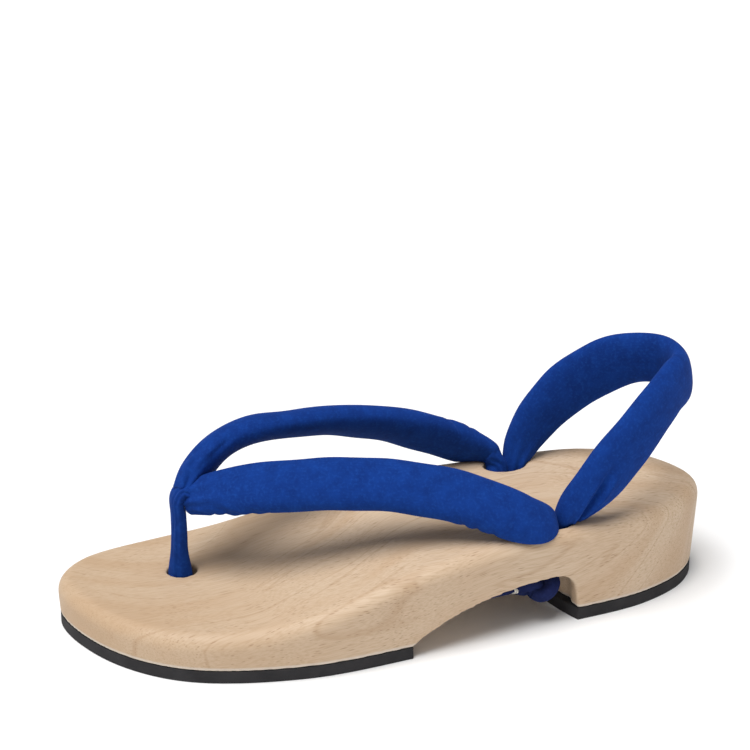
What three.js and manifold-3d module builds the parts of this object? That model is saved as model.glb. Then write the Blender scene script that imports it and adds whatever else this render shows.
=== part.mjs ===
// A geta sandal for the left foot: a carved wooden sole on two rubber treads, a padded V thong
// that starts between the toes, and a padded strap behind the heel.
// Millimetres. +X points to the little-toe side, -Y to the toes, +Y to the heel and +Z up.
// The origin is on the floor, under the middle of the sole.
import * as THREE from "three";
import { mergeVertices } from "three/addons/utils/BufferGeometryUtils.js";
import Module from "manifold-3d";

// ---- Driving dimensions --------------------------------------------------------------------

const TREAD_THICKNESS = 5; // the rubber sheets under the wood
const WALL_LEAN = 0.06; // how far the side walls lean out, per mm of height
const TOP_ROUND = 6; // radius of the edge round the foot bed
const OUTLINE_STEPS = 44; // points on each side of the plan outline, from toe to heel
const ROUND_STEPS = 5; // rings in the rounded edge
const CLEARANCE = 0.3; // gap between curved pieces that touch

// The plan outline of the wood at the floor, from the toe tip along the little-toe side to the
// heel, and back along the arch side.
const OUTLINE = [
  { x: -20, y: -129.7 },
  { x: 14.8, y: -118.5 },
  { x: 39.7, y: -93 },
  { x: 51, y: -48.5 },
  { x: 47.3, y: 0 },
  { x: 38.5, y: 54.5 },
  { x: 31, y: 98 },
  { x: 17.5, y: 121 },
  { x: 0, y: 129.7 },
  { x: -23, y: 118.5 },
  { x: -35.5, y: 94 },
  { x: -37, y: 50 },
  { x: -42, y: 0 },
  { x: -49, y: -48 },
  { x: -48.5, y: -86 },
  { x: -38, y: -118.5 },
];
const HEEL_TIP = 8; // index of the heel tip in OUTLINE

// The height of the foot bed along the sole: a low forefoot, a ramp and a heel plateau.
const BED_PROFILE = [
  { y: -134, z: 20 },
  { y: -110, z: 19 },
  { y: -85, z: 19 },
  { y: -65, z: 20.5 },
  { y: -45, z: 24.6 },
  { y: -25, z: 30 },
  { y: -5, z: 35.4 },
  { y: 15, z: 38.8 },
  { y: 40, z: 40.6 },
  { y: 66, z: 41.3 },
  { y: 95, z: 41 },
  { y: 134, z: 40 },
];

// The arch cut under the waist, in side view, from the front tread to the heel block.
const ARCH_FRONT = -4.5; // where the front tread ends
const ARCH_TOP = 21.6; // underside of the waist
const BREAST = 67.5; // front of the heel block at the tread, on the outer edge
const BREAST_LEAN = 1.3; // how far the heel front leans forward going up
const WOOD_BREAST_BOW = 4; // how far the middle of the heel front stands ahead of its corners
const TREAD_BREAST_BOW = 9; // the same on the rubber under it
const HALF_WAIST = 37; // half the width of the heel front

// Strap holes through the wood: centre, and half sizes across and along the sole.
const HOLES = [
  { x: -14, y: -81.5, halfX: 6, halfY: 6 },
  { x: 28.5, y: 58, halfX: 6.5, halfY: 9 },
  { x: -27, y: 58, halfX: 6.5, halfY: 9 },
];

// Strap stations: centre, the flattened section's width and thickness, and the direction that
// the outer face looks in: facing is an azimuth (0 = little-toe side, 90 = heel, 180 = arch
// side) and lift an angle above the horizon, in degrees.
const OUTER_BAND = [
  { x: -14.5, y: -78.2, z: 50.4, width: 14, thick: 9.5, facing: -40, lift: 20 },
  { x: -10, y: -73.2, z: 52.6, width: 15.5, thick: 10.5, facing: -38, lift: 30 },
  { x: -1.5, y: -59.5, z: 56.8, width: 19.5, thick: 13, facing: -32, lift: 38 },
  { x: 8, y: -38, z: 60.3, width: 21, thick: 13, facing: -24, lift: 42 },
  { x: 16, y: -15, z: 61.3, width: 21, thick: 13, facing: -18, lift: 42 },
  { x: 24, y: 8, z: 59.3, width: 21, thick: 13, facing: -14, lift: 40 },
  { x: 31, y: 28, z: 53.8, width: 20.5, thick: 13, facing: -10, lift: 36 },
  { x: 35.2, y: 43, z: 47.4, width: 19.5, thick: 12, facing: -6, lift: 36 },
  { x: 33.3, y: 54, z: 42.3, width: 15.5, thick: 9.5, facing: 0, lift: 46 },
  { x: 28.8, y: 55.8, z: 36.5, width: 9, thick: 7.5, facing: 10, lift: 30 },
  { x: 28.5, y: 54, z: 22, width: 8, thick: 8, facing: 10, lift: 0 },
];
const INNER_BAND = [
  { x: -15, y: -79.3, z: 51.5, width: 12, thick: 10, facing: 215, lift: 25 },
  { x: -18.5, y: -74.2, z: 58.2, width: 16.5, thick: 12.5, facing: 210, lift: 38 },
  { x: -22, y: -64.5, z: 65.8, width: 20.5, thick: 13, facing: 200, lift: 50 },
  { x: -25, y: -51, z: 70, width: 22, thick: 12.5, facing: 194, lift: 58 },
  { x: -28, y: -34, z: 69.8, width: 21, thick: 12, facing: 190, lift: 60 },
  { x: -31, y: -12, z: 67.3, width: 21, thick: 12.5, facing: 188, lift: 54 },
  { x: -33, y: 10, z: 62, width: 21, thick: 13, facing: 186, lift: 46 },
  { x: -34, y: 28, z: 55, width: 20.5, thick: 13, facing: 184, lift: 38 },
  { x: -34.5, y: 43, z: 47.8, width: 19, thick: 12, facing: 182, lift: 36 },
  { x: -32.5, y: 53, z: 43, width: 15.5, thick: 9.5, facing: 180, lift: 44 },
  { x: -27, y: 55, z: 37, width: 9, thick: 7.5, facing: 170, lift: 30 },
  { x: -27, y: 54, z: 22, width: 8, thick: 8, facing: 170, lift: 0 },
];
const TOE_POST = [
  { x: -10.5, y: -73.5, z: 52.5, width: 7, thick: 4, facing: -90, lift: 75 },
  { x: -13.5, y: -78.8, z: 54.8, width: 10, thick: 5.5, facing: -90, lift: 55 },
  { x: -14.5, y: -82, z: 51, width: 10.5, thick: 6, facing: -90, lift: 15 },
  { x: -14.5, y: -81.8, z: 42, width: 10, thick: 6.5, facing: -90, lift: 0 },
  { x: -14, y: -82, z: 28, width: 9.5, thick: 7.5, facing: -90, lift: 0 },
  { x: -14, y: -81.6, z: 17, width: 11, thick: 10.6, facing: -90, lift: 0 },
  { x: -14, y: -81.5, z: 6, width: 11, thick: 10.6, facing: -90, lift: 0 },
];
const HEEL_LOOP = [
  { x: 28.5, y: 62.5, z: 22, width: 8, thick: 7, facing: 20, lift: 0 },
  { x: 28.5, y: 62.5, z: 38, width: 9, thick: 7.5, facing: 10, lift: 0 },
  { x: 31.5, y: 66.2, z: 47.3, width: 15, thick: 9.5, facing: 10, lift: 10 },
  { x: 33.5, y: 73.2, z: 56.2, width: 20, thick: 10.5, facing: 12, lift: 8 },
  { x: 33, y: 80.8, z: 64.4, width: 23, thick: 10.5, facing: 16, lift: 5 },
  { x: 30.5, y: 90, z: 73, width: 23.5, thick: 10.5, facing: 24, lift: 5 },
  { x: 25.5, y: 99.8, z: 80.8, width: 23.5, thick: 10.5, facing: 34, lift: 5 },
  { x: 17.5, y: 110, z: 85.8, width: 22.5, thick: 10.5, facing: 50, lift: 8 },
  { x: 7.5, y: 119.3, z: 87.6, width: 21.5, thick: 10, facing: 78, lift: 10 },
  { x: -5, y: 119.3, z: 88.6, width: 21.5, thick: 10, facing: 102, lift: 10 },
  { x: -15.5, y: 112, z: 87, width: 22, thick: 10.5, facing: 126, lift: 8 },
  { x: -24.5, y: 101, z: 81.5, width: 23, thick: 10.5, facing: 146, lift: 5 },
  { x: -30, y: 90.5, z: 73.5, width: 23, thick: 10.5, facing: 156, lift: 5 },
  { x: -32, y: 80.8, z: 64.8, width: 22, thick: 10.5, facing: 164, lift: 5 },
  { x: -32, y: 73.2, z: 56.7, width: 19.5, thick: 10.5, facing: 168, lift: 8 },
  { x: -30, y: 66.2, z: 47.5, width: 15, thick: 9.5, facing: 170, lift: 10 },
  { x: -27, y: 62.5, z: 38, width: 9, thick: 7.5, facing: 170, lift: 0 },
  { x: -27, y: 62.5, z: 22, width: 8, thick: 7, facing: 160, lift: 0 },
];
const STRAP_SIDES = 18; // points round a strap section
const BAND_STEPS = 44; // rings along a thong band
const POST_STEPS = 16; // rings along the toe post
const LOOP_STEPS = 64; // rings along the heel strap

// The tied ends under the waist: a lump and a short tail that lies towards the toes.
const KNOT = { x: 30, y: 52, z: 15.2, halfX: 9, halfY: 10.5, halfZ: 5.6 };
const KNOT_TAIL = { x: 31, y: 39.5, z: 15.8, halfX: 5, halfY: 9.5, halfZ: 2.8 };

// ---- Helpers -------------------------------------------------------------------------------

const wasm = await Module();
wasm.setup();

// A closed geometry as a solid that can be joined and cut.
function solid(geometry) {
  const bare = geometry.index ? geometry.toNonIndexed() : geometry.clone();
  bare.deleteAttribute("normal");
  bare.deleteAttribute("uv");
  const merged = mergeVertices(bare, 1e-4);
  return new wasm.Manifold(
    new wasm.Mesh({
      numProp: 3,
      vertProperties: new Float32Array(merged.attributes.position.array),
      triVerts: new Uint32Array(merged.index.array),
    }),
  );
}

// A solid back as a geometry.
function geometryOf(body) {
  const mesh = body.getMesh();
  const geometry = new THREE.BufferGeometry();
  geometry.setAttribute("position", new THREE.BufferAttribute(mesh.vertProperties, 3));
  geometry.setIndex(new THREE.BufferAttribute(mesh.triVerts, 1));
  const flat = geometry.toNonIndexed();
  flat.computeVertexNormals();
  return flat;
}

// A height at y on a smooth curve through a table of y and z.
function heightAt(table, y) {
  const last = table.length - 1;
  const i = Math.max(0, Math.min(last - 1, table.findIndex((row) => row.y > y) - 1));
  const p = [i - 1, i, i + 1, i + 2].map((k) => table[Math.max(0, Math.min(last, k))]);
  const span = p[2].y - p[1].y;
  const t = (y - p[1].y) / span;
  const slope = (a, b) => ((b.z - a.z) / (b.y - a.y)) * span;
  const m1 = i === 0 ? slope(p[1], p[2]) : slope(p[0], p[2]);
  const m2 = i === last - 1 ? slope(p[1], p[2]) : slope(p[1], p[3]);
  const t2 = t * t;
  const t3 = t2 * t;
  return (
    (2 * t3 - 3 * t2 + 1) * p[1].z +
    (t3 - 2 * t2 + t) * m1 +
    (3 * t2 - 2 * t3) * p[2].z +
    (t3 - t2) * m2
  );
}

// Points round the plan outline, as many on the outer side as on the arch side, with the
// outward direction at each.
function outlineRing() {
  const points = OUTLINE.map((p) => new THREE.Vector3(p.x, p.y, 0));
  const curve = new THREE.CatmullRomCurve3(points, true, "centripetal");
  const heel = HEEL_TIP / OUTLINE.length;
  const ring = [];
  for (let i = 0; i < 2 * OUTLINE_STEPS; i++) {
    const onOuterSide = i < OUTLINE_STEPS;
    const share = (i % OUTLINE_STEPS) / OUTLINE_STEPS;
    const t = onOuterSide ? share * heel : heel + share * (1 - heel);
    const tangent = curve.getTangent(t);
    ring.push({ point: curve.getPoint(t), out: new THREE.Vector3(tangent.y, -tangent.x, 0) });
  }
  return ring;
}

// A closed surface through rings of equally many points, with each end closed by a cap:
// "strip" joins a plan ring's two sides, and "fan" turns round the first point.
function loft(rings, cap) {
  const count = rings[0].length;
  const positions = rings.flat().flatMap((p) => [p.x, p.y, p.z]);
  const index = [];
  for (let r = 0; r + 1 < rings.length; r++) {
    for (let i = 0; i < count; i++) {
      const a = r * count + i;
      const b = r * count + ((i + 1) % count);
      index.push(a, b, b + count, a, b + count, a + count);
    }
  }
  const caps = cap === "strip" ? stripCap(count) : fanCap(count);
  const top = (rings.length - 1) * count;
  for (const [a, b, c] of caps) {
    index.push(a, c, b);
    index.push(top + a, top + b, top + c);
  }
  const geometry = new THREE.BufferGeometry();
  geometry.setAttribute("position", new THREE.Float32BufferAttribute(positions, 3));
  geometry.setIndex(index);
  return geometry;
}

function fanCap(count) {
  const triangles = [];
  for (let i = 1; i + 1 < count; i++) triangles.push([0, i, i + 1]);
  return triangles;
}

function stripCap(count) {
  const triangles = [];
  for (let i = 0; i < count / 2; i++) {
    const outer = [i, i + 1];
    const inner = [(count - i) % count, count - i - 1];
    if (outer[0] !== inner[0]) triangles.push([outer[0], outer[1], inner[0]]);
    if (outer[1] !== inner[1]) triangles.push([outer[1], inner[1], inner[0]]);
  }
  return triangles;
}

// A padded tube through a table of stations, thicker by some growth on every side.
function strap(stations, steps, growth = 0) {
  const centres = stations.map((s) => new THREE.Vector3(s.x, s.y, s.z));
  const path = new THREE.CatmullRomCurve3(centres, false, "centripetal");
  const rings = [];
  for (let k = 0; k <= steps; k++) {
    const t = k / steps;
    const place = t * (stations.length - 1);
    const from = stations[Math.min(Math.floor(place), stations.length - 2)];
    const to = stations[stations.indexOf(from) + 1];
    const share = THREE.MathUtils.smoothstep(place - stations.indexOf(from), 0, 1);
    const mix = (key) => THREE.MathUtils.lerp(from[key], to[key], share);
    const facing = THREE.MathUtils.degToRad(mix("facing"));
    const lift = THREE.MathUtils.degToRad(mix("lift"));
    const tangent = path.getTangent(t);
    const outward = new THREE.Vector3(
      Math.cos(facing) * Math.cos(lift),
      Math.sin(facing) * Math.cos(lift),
      Math.sin(lift),
    );
    outward.addScaledVector(tangent, -outward.dot(tangent)).normalize();
    const across = new THREE.Vector3().crossVectors(tangent, outward);
    const centre = path.getPoint(t);
    const ring = [];
    for (let i = 0; i < STRAP_SIDES; i++) {
      const angle = (2 * Math.PI * i) / STRAP_SIDES;
      const side = Math.sin(angle) * (mix("width") / 2 + growth);
      const face = Math.cos(angle) * (mix("thick") / 2 + growth);
      ring.push(centre.clone().addScaledVector(across, side).addScaledVector(outward, face));
    }
    rings.push(ring);
  }
  return solid(loft(rings, "fan"));
}

// What is cut away under the waist: the arch's side view drawn out across the sole. The heel
// front is bowed towards the toes by the given sagitta.
function archCutter(bow) {
  const below = -10;
  const side = new THREE.Shape();
  side.moveTo(ARCH_FRONT, below);
  side.lineTo(ARCH_FRONT, TREAD_THICKNESS);
  side.quadraticCurveTo(14, 19.5, 50, ARCH_TOP);
  side.lineTo(BREAST - 11.5, ARCH_TOP);
  side.quadraticCurveTo(BREAST - 2.2, ARCH_TOP, BREAST - BREAST_LEAN, TREAD_THICKNESS + 7.5);
  side.lineTo(BREAST, TREAD_THICKNESS);
  side.lineTo(BREAST, below);
  side.closePath();
  const width = 4 * HALF_WAIST;
  const geometry = new THREE.ExtrudeGeometry(side, {
    depth: width,
    steps: 32,
    bevelEnabled: false,
    curveSegments: 14,
  });
  // The shape's x, y and depth become the sole's y, z and x.
  const position = geometry.attributes.position;
  for (let i = 0; i < position.count; i++) {
    const y = position.getX(i);
    const z = position.getY(i);
    const x = position.getZ(i) - width / 2;
    const near = THREE.MathUtils.smoothstep(y, ARCH_FRONT + 40, BREAST - 10);
    const spread = Math.max(0, 1 - (x / HALF_WAIST) ** 2);
    position.setXYZ(i, x, y - bow * near * spread, z);
  }
  return solid(geometry);
}

// A vertical oval bore, from the floor to above the wood.
function ovalPrism({ x, y, halfX, halfY }) {
  const shape = new THREE.Shape();
  shape.absellipse(x, y, halfX, halfY, 0, 2 * Math.PI);
  const options = { depth: 60, bevelEnabled: false, curveSegments: 12 };
  return solid(new THREE.ExtrudeGeometry(shape, options));
}

function ellipsoid({ x, y, z, halfX, halfY, halfZ }) {
  const geometry = new THREE.SphereGeometry(1, 20, 14);
  return solid(geometry.scale(halfX, halfY, halfZ).translate(x, y, z));
}

// ---- Pieces --------------------------------------------------------------------------------

const ring = outlineRing();

// The outline moved out by a distance, at a height that may depend on the place.
function outlineAt(outward, height) {
  return ring.map(({ point, out }) => {
    const moved = point.clone().addScaledVector(out, outward(point));
    moved.z = height(moved);
    return moved;
  });
}

// The wooden sole, or with some growth the same shape that much larger on every face that a
// strap lies against.
function woodenBase(growth) {
  const bed = (p) => heightAt(BED_PROFILE, p.y) + growth;
  const flare = (p) => WALL_LEAN * (bed(p) - TREAD_THICKNESS - TOP_ROUND) + growth;
  const rings = [outlineAt(() => growth, () => TREAD_THICKNESS)];
  for (let k = 0; k <= ROUND_STEPS; k++) {
    const angle = (k / ROUND_STEPS) * (Math.PI / 2);
    const inward = TOP_ROUND * (1 - Math.cos(angle));
    const drop = TOP_ROUND * (1 - Math.sin(angle));
    rings.push(outlineAt((p) => flare(p) - inward, (p) => bed(p) - drop));
  }
  let body = solid(loft(rings, "strip")).subtract(archCutter(WOOD_BREAST_BOW));
  for (const hole of HOLES) {
    const bore = { ...hole, halfX: hole.halfX - growth, halfY: hole.halfY - growth };
    body = body.subtract(ovalPrism(bore));
  }
  return body;
}

// The rubber under the forefoot or the heel: one sheet under the whole sole, cut by the arch.
function tread(end) {
  const low = outlineAt(() => 0, () => 0);
  const high = outlineAt(() => 0, () => TREAD_THICKNESS);
  const sheet = solid(loft([low, high], "strip")).subtract(archCutter(TREAD_BREAST_BOW));
  const pieces = sheet.decompose();
  pieces.sort((a, b) => a.boundingBox().min[1] - b.boundingBox().min[1]);
  return end === "front" ? pieces[0] : pieces[1];
}

// The straps press on the wood round their holes: what would sink into it is cut away.
function pressedOnWood(body) {
  return body.subtract(woodenBase(CLEARANCE));
}

function thongBands(growth) {
  const outer = strap(OUTER_BAND, BAND_STEPS, growth);
  return outer.add(strap(INNER_BAND, BAND_STEPS, growth));
}

function thong() {
  return pressedOnWood(thongBands(0).add(strap(TOE_POST, POST_STEPS)));
}

function heelStrap() {
  return pressedOnWood(strap(HEEL_LOOP, LOOP_STEPS).subtract(thongBands(CLEARANCE)));
}

function knot(side) {
  const mirror = (row) => ({ ...row, x: side * row.x });
  return ellipsoid(mirror(KNOT)).add(ellipsoid(mirror(KNOT_TAIL)));
}

// ---- Assembly ------------------------------------------------------------------------------

const WOOD = { color: 0xd3bb9a, roughness: 0.6, metalness: 0 };
const RUBBER = { color: 0x2b2a2c, roughness: 0.9, metalness: 0 };
const FABRIC = { color: 0x1f3f9e, roughness: 0.95, metalness: 0 };

const sandal = new THREE.Group();

function add(name, body, finish) {
  const mesh = new THREE.Mesh(geometryOf(body), new THREE.MeshStandardMaterial(finish));
  mesh.name = name;
  sandal.add(mesh);
}

add("base", woodenBase(0), WOOD);
add("front_outsole", tread("front"), RUBBER);
add("heel_outsole", tread("heel"), RUBBER);
add("hanao", thong(), FABRIC);
add("heel_strap", heelStrap(), FABRIC);
add("knot_lateral", knot(1), FABRIC);
add("knot_medial", knot(-1), FABRIC);

export default sandal;
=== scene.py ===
"""The looks of a geta sandal for the left foot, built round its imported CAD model.

A carved rubberwood sole stands on two sponge-rubber treads. A padded V thong starts between the
toes, and a padded strap goes round behind the heel. Both go through the wood behind the arch
and are knotted under it.

Sizes are in mm and turned to metres where a mesh is made. +X points to the little-toe side, -Y
to the toes, +Y to the heel and +Z up. The origin is on the floor, under the middle of the sole.
"""

import math

import bmesh
import bpy
import numpy as np
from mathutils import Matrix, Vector


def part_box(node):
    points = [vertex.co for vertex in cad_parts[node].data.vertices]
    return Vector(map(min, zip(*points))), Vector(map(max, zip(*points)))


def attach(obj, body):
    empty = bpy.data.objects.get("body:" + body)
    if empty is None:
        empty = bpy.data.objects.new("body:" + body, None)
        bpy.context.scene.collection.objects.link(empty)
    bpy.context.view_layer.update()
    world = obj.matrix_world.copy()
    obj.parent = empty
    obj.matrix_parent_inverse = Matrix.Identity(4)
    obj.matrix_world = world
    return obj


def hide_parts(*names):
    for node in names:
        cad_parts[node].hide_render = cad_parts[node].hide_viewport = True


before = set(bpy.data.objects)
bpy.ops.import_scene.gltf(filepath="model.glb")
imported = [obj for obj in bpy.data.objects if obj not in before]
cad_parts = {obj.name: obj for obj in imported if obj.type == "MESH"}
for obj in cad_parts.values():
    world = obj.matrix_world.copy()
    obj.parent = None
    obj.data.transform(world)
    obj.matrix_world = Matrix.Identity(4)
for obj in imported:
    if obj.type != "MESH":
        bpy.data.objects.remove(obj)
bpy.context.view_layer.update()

MM = 0.001

# ---- Driving dimensions, the same as the design's ------------------------------------------

TREAD_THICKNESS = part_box("front_outsole")[1].z / MM
WALL_LEAN = 0.06  # how far the side walls lean out, per mm of height
TOP_ROUND = 6  # radius of the edge round the foot bed

# The plan outline of the wood at the floor, from the toe tip along the little-toe side to the
# heel, and back along the arch side: x, y.
OUTLINE = [
    (-20, -129.7),
    (14.8, -118.5),
    (39.7, -93),
    (51, -48.5),
    (47.3, 0),
    (38.5, 54.5),
    (31, 98),
    (17.5, 121),
    (0, 129.7),
    (-23, 118.5),
    (-35.5, 94),
    (-37, 50),
    (-42, 0),
    (-49, -48),
    (-48.5, -86),
    (-38, -118.5),
]
HEEL_TIP = 8  # index of the heel tip in OUTLINE

# The height of the foot bed along the sole: y, z.
BED_PROFILE = [
    (-134, 20),
    (-110, 19),
    (-85, 19),
    (-65, 20.5),
    (-45, 24.6),
    (-25, 30),
    (-5, 35.4),
    (15, 38.8),
    (40, 40.6),
    (66, 41.3),
    (95, 41),
    (134, 40),
]

# The arch under the waist, in side view, from the front tread to the heel block.
ARCH_FRONT = -4.5  # where the front tread ends
ARCH_TOP = 21.6  # underside of the waist
ARCH_BEND = (14, 19.5)  # y and z that the arch's curve heads for on its way up to the waist
WAIST_START = 50  # y from which the underside of the waist is level
BREAST = 67.5  # front of the heel block at the tread, on the outer edge
BREAST_LEAN = 1.3  # how far the heel front leans forward going up
FILLET = (11.5, 2.2, 7.5)  # the fillet there: its length, its corner's place, its foot's height
WOOD_BREAST_BOW = 4  # how far the middle of the heel front stands ahead of its corners
TREAD_BREAST_BOW = 9  # the same on the rubber under it
HALF_WAIST = 37  # half the width of the heel front

# Strap holes through the wood: centre x, y, and half sizes across and along the sole.
HOLES = [(-14, -81.5, 6, 6), (28.5, 58, 6.5, 9), (-27, 58, 6.5, 9)]

# Strap stations: centre x, y, z, width, thickness, and where the outer face looks: an azimuth
# (0 = little-toe side, 90 = heel, 180 = arch side) and a lift above the horizon, in degrees.
OUTER_BAND = [
    (-14.5, -78.2, 50.4, 14, 9.5, -40, 20),
    (-10, -73.2, 52.6, 15.5, 10.5, -38, 30),
    (-1.5, -59.5, 56.8, 19.5, 13, -32, 38),
    (8, -38, 60.3, 21, 13, -24, 42),
    (16, -15, 61.3, 21, 13, -18, 42),
    (24, 8, 59.3, 21, 13, -14, 40),
    (31, 28, 53.8, 20.5, 13, -10, 36),
    (35.2, 43, 47.4, 19.5, 12, -6, 36),
    (33.3, 54, 42.3, 15.5, 9.5, 0, 46),
    (28.8, 55.8, 36.5, 9, 7.5, 10, 30),
    (28.5, 54, 22, 8, 8, 10, 0),
]
INNER_BAND = [
    (-15, -79.3, 51.5, 12, 10, 215, 25),
    (-18.5, -74.2, 58.2, 16.5, 12.5, 210, 38),
    (-22, -64.5, 65.8, 20.5, 13, 200, 50),
    (-25, -51, 70, 22, 12.5, 194, 58),
    (-28, -34, 69.8, 21, 12, 190, 60),
    (-31, -12, 67.3, 21, 12.5, 188, 54),
    (-33, 10, 62, 21, 13, 186, 46),
    (-34, 28, 55, 20.5, 13, 184, 38),
    (-34.5, 43, 47.8, 19, 12, 182, 36),
    (-32.5, 53, 43, 15.5, 9.5, 180, 44),
    (-27, 55, 37, 9, 7.5, 170, 30),
    (-27, 54, 22, 8, 8, 170, 0),
]
TOE_POST = [
    (-10.5, -73.5, 52.5, 7, 4, -90, 75),
    (-13.5, -78.8, 54.8, 10, 5.5, -90, 55),
    (-14.5, -82, 51, 10.5, 6, -90, 15),
    (-14.5, -81.8, 42, 10, 6.5, -90, 0),
    (-14, -82, 28, 9.5, 7.5, -90, 0),
    (-14, -81.6, 17, 11, 10.6, -90, 0),
    (-14, -81.5, 6, 11, 10.6, -90, 0),
]
HEEL_LOOP = [
    (28.5, 62.5, 22, 8, 7, 20, 0),
    (28.5, 62.5, 38, 9, 7.5, 10, 0),
    (31.5, 66.2, 47.3, 15, 9.5, 10, 10),
    (33.5, 73.2, 56.2, 20, 10.5, 12, 8),
    (33, 80.8, 64.4, 23, 10.5, 16, 5),
    (30.5, 90, 73, 23.5, 10.5, 24, 5),
    (25.5, 99.8, 80.8, 23.5, 10.5, 34, 5),
    (17.5, 110, 85.8, 22.5, 10.5, 50, 8),
    (7.5, 119.3, 87.6, 21.5, 10, 78, 10),
    (-5, 119.3, 88.6, 21.5, 10, 102, 10),
    (-15.5, 112, 87, 22, 10.5, 126, 8),
    (-24.5, 101, 81.5, 23, 10.5, 146, 5),
    (-30, 90.5, 73.5, 23, 10.5, 156, 5),
    (-32, 80.8, 64.8, 22, 10.5, 164, 5),
    (-32, 73.2, 56.7, 19.5, 10.5, 168, 8),
    (-30, 66.2, 47.5, 15, 9.5, 170, 10),
    (-27, 62.5, 38, 9, 7.5, 170, 0),
    (-27, 62.5, 22, 8, 7, 160, 0),
]

# ---- Camera --------------------------------------------------------------------------------

VIEW_AZIMUTH = 73.5  # degrees from the toes towards the little-toe side
VIEW_ELEVATION = 22.8  # degrees above the floor
VIEW_DISTANCE = 900
VIEW_TARGET = (0, -5.87, 99.44)
LENS = 111.76  # on a 36 mm sensor


def camera():
    data = bpy.data.cameras.new("view")
    data.lens = LENS
    data.clip_start = 0.05
    made = bpy.data.objects.new("view", data)
    bpy.context.scene.collection.objects.link(made)
    azimuth, elevation = math.radians(VIEW_AZIMUTH), math.radians(VIEW_ELEVATION)
    back = Vector(
        (
            math.sin(azimuth) * math.cos(elevation),
            -math.cos(azimuth) * math.cos(elevation),
            math.sin(elevation),
        )
    )
    made.location = (Vector(VIEW_TARGET) + VIEW_DISTANCE * back) * MM
    made.rotation_mode = "QUATERNION"
    made.rotation_quaternion = (-back).to_track_quat("-Z", "Y")
    bpy.context.scene.camera = made


# ---- Curves --------------------------------------------------------------------------------


def spline(points, closed, t):
    """Places and directions at t, from 0 to 1, on a centripetal Catmull-Rom curve."""
    points = np.array(points, float)
    count = len(points)
    place = np.asarray(t, float) * (count if closed else count - 1)
    first = np.floor(place).astype(int)
    if closed:
        p = [points[(first + k) % count] for k in (-1, 0, 1, 2)]
    else:
        first = np.clip(first, 0, count - 2)
        before, after = 2 * points[0] - points[1], 2 * points[-1] - points[-2]
        longer = np.vstack([before, points, after])
        p = [longer[first + k] for k in (0, 1, 2, 3)]
    w = (place - first)[:, None]
    gaps = [np.sqrt(np.linalg.norm(b - a, axis=1))[:, None] for a, b in zip(p, p[1:])]
    m1 = (p[1] - p[0]) / gaps[0] - (p[2] - p[0]) / (gaps[0] + gaps[1]) + (p[2] - p[1]) / gaps[1]
    m2 = (p[2] - p[1]) / gaps[1] - (p[3] - p[1]) / (gaps[1] + gaps[2]) + (p[3] - p[2]) / gaps[2]
    m1, m2 = m1 * gaps[1], m2 * gaps[1]
    c2 = 3 * (p[2] - p[1]) - 2 * m1 - m2
    c3 = 2 * (p[1] - p[2]) + m1 + m2
    at = p[1] + w * (m1 + w * (c2 + w * c3))
    way = m1 + w * (2 * c2 + 3 * w * c3)
    return at, way / np.linalg.norm(way, axis=1)[:, None]


def table_at(rows, keys, x):
    """Values at x on smooth curves through a table's rows, whose keys rise."""
    rows, keys = np.array(rows, float), np.array(keys, float)
    i = np.clip(np.searchsorted(keys, x, side="right") - 1, 0, len(keys) - 2)
    slopes = (rows[1:] - rows[:-1]) / (keys[1:] - keys[:-1])[:, None]
    inner = (rows[2:] - rows[:-2]) / (keys[2:] - keys[:-2])[:, None]
    slopes = np.vstack([slopes[:1], inner, slopes[-1:]])
    span = (keys[i + 1] - keys[i])[:, None]
    t = (np.asarray(x, float) - keys[i])[:, None] / span
    rise = rows[i + 1] - rows[i]
    m1, m2 = slopes[i] * span, slopes[i + 1] * span
    return rows[i] + t * (m1 + t * (3 * rise - 2 * m1 - m2 + t * (m1 + m2 - 2 * rise)))


def bed_height(y):
    profile = np.array(BED_PROFILE, float)
    return table_at(profile[:, 1:], profile[:, 0], np.asarray(y, float))[:, 0]


def ease(low, high, x):
    t = np.clip((np.asarray(x, float) - low) / (high - low), 0, 1)
    return t * t * (3 - 2 * t)


# ---- Meshes --------------------------------------------------------------------------------


def piece_from(name, vertices, faces):
    """An object made from vertices in mm."""
    mesh = bpy.data.meshes.new(name)
    mesh.from_pydata((np.asarray(vertices) * MM).tolist(), [], faces)
    mesh.update()
    made = bpy.data.objects.new(name, mesh)
    bpy.context.scene.collection.objects.link(made)
    return made


def grid_faces(rings, sides):
    """Quads over rings of points that close on themselves, facing out, with a cap on each end."""
    faces = []
    for r in range(rings - 1):
        for i in range(sides):
            a, b = r * sides + i, r * sides + (i + 1) % sides
            faces.append((a, b, b + sides, a + sides))
    top = (rings - 1) * sides
    faces.append(tuple(range(sides - 1, -1, -1)))
    faces.append(tuple(range(top, top + sides)))
    return faces


def strip_faces(rings, sides):
    """The same, with caps of strips from each point on one side to the one across from it."""
    faces = grid_faces(rings, sides)[:-2]
    top = (rings - 1) * sides
    for i in range(sides // 2):
        across = [i, i + 1, sides - i - 1, (sides - i) % sides]
        corners = [c for k, c in enumerate(across) if c not in across[:k]]
        if len(corners) > 2:
            faces.append(tuple(reversed(corners)))
            faces.append(tuple(top + c for c in corners))
    return faces


def settle(piece, kind, **settings):
    """Adds a modifier and applies it."""
    modifier = piece.modifiers.new(kind, kind)
    for name, value in settings.items():
        setattr(modifier, name, value)
    graph = bpy.context.evaluated_depsgraph_get()
    mesh = bpy.data.meshes.new_from_object(piece.evaluated_get(graph))
    piece.modifiers.clear()
    old, piece.data = piece.data, mesh
    bpy.data.meshes.remove(old)


def cut(piece, cutter):
    settle(piece, "BOOLEAN", object=cutter, operation="DIFFERENCE", solver="EXACT")
    bpy.data.objects.remove(cutter)


def shade_smooth(piece):
    piece.data.polygons.foreach_set("use_smooth", [True] * len(piece.data.polygons))


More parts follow.
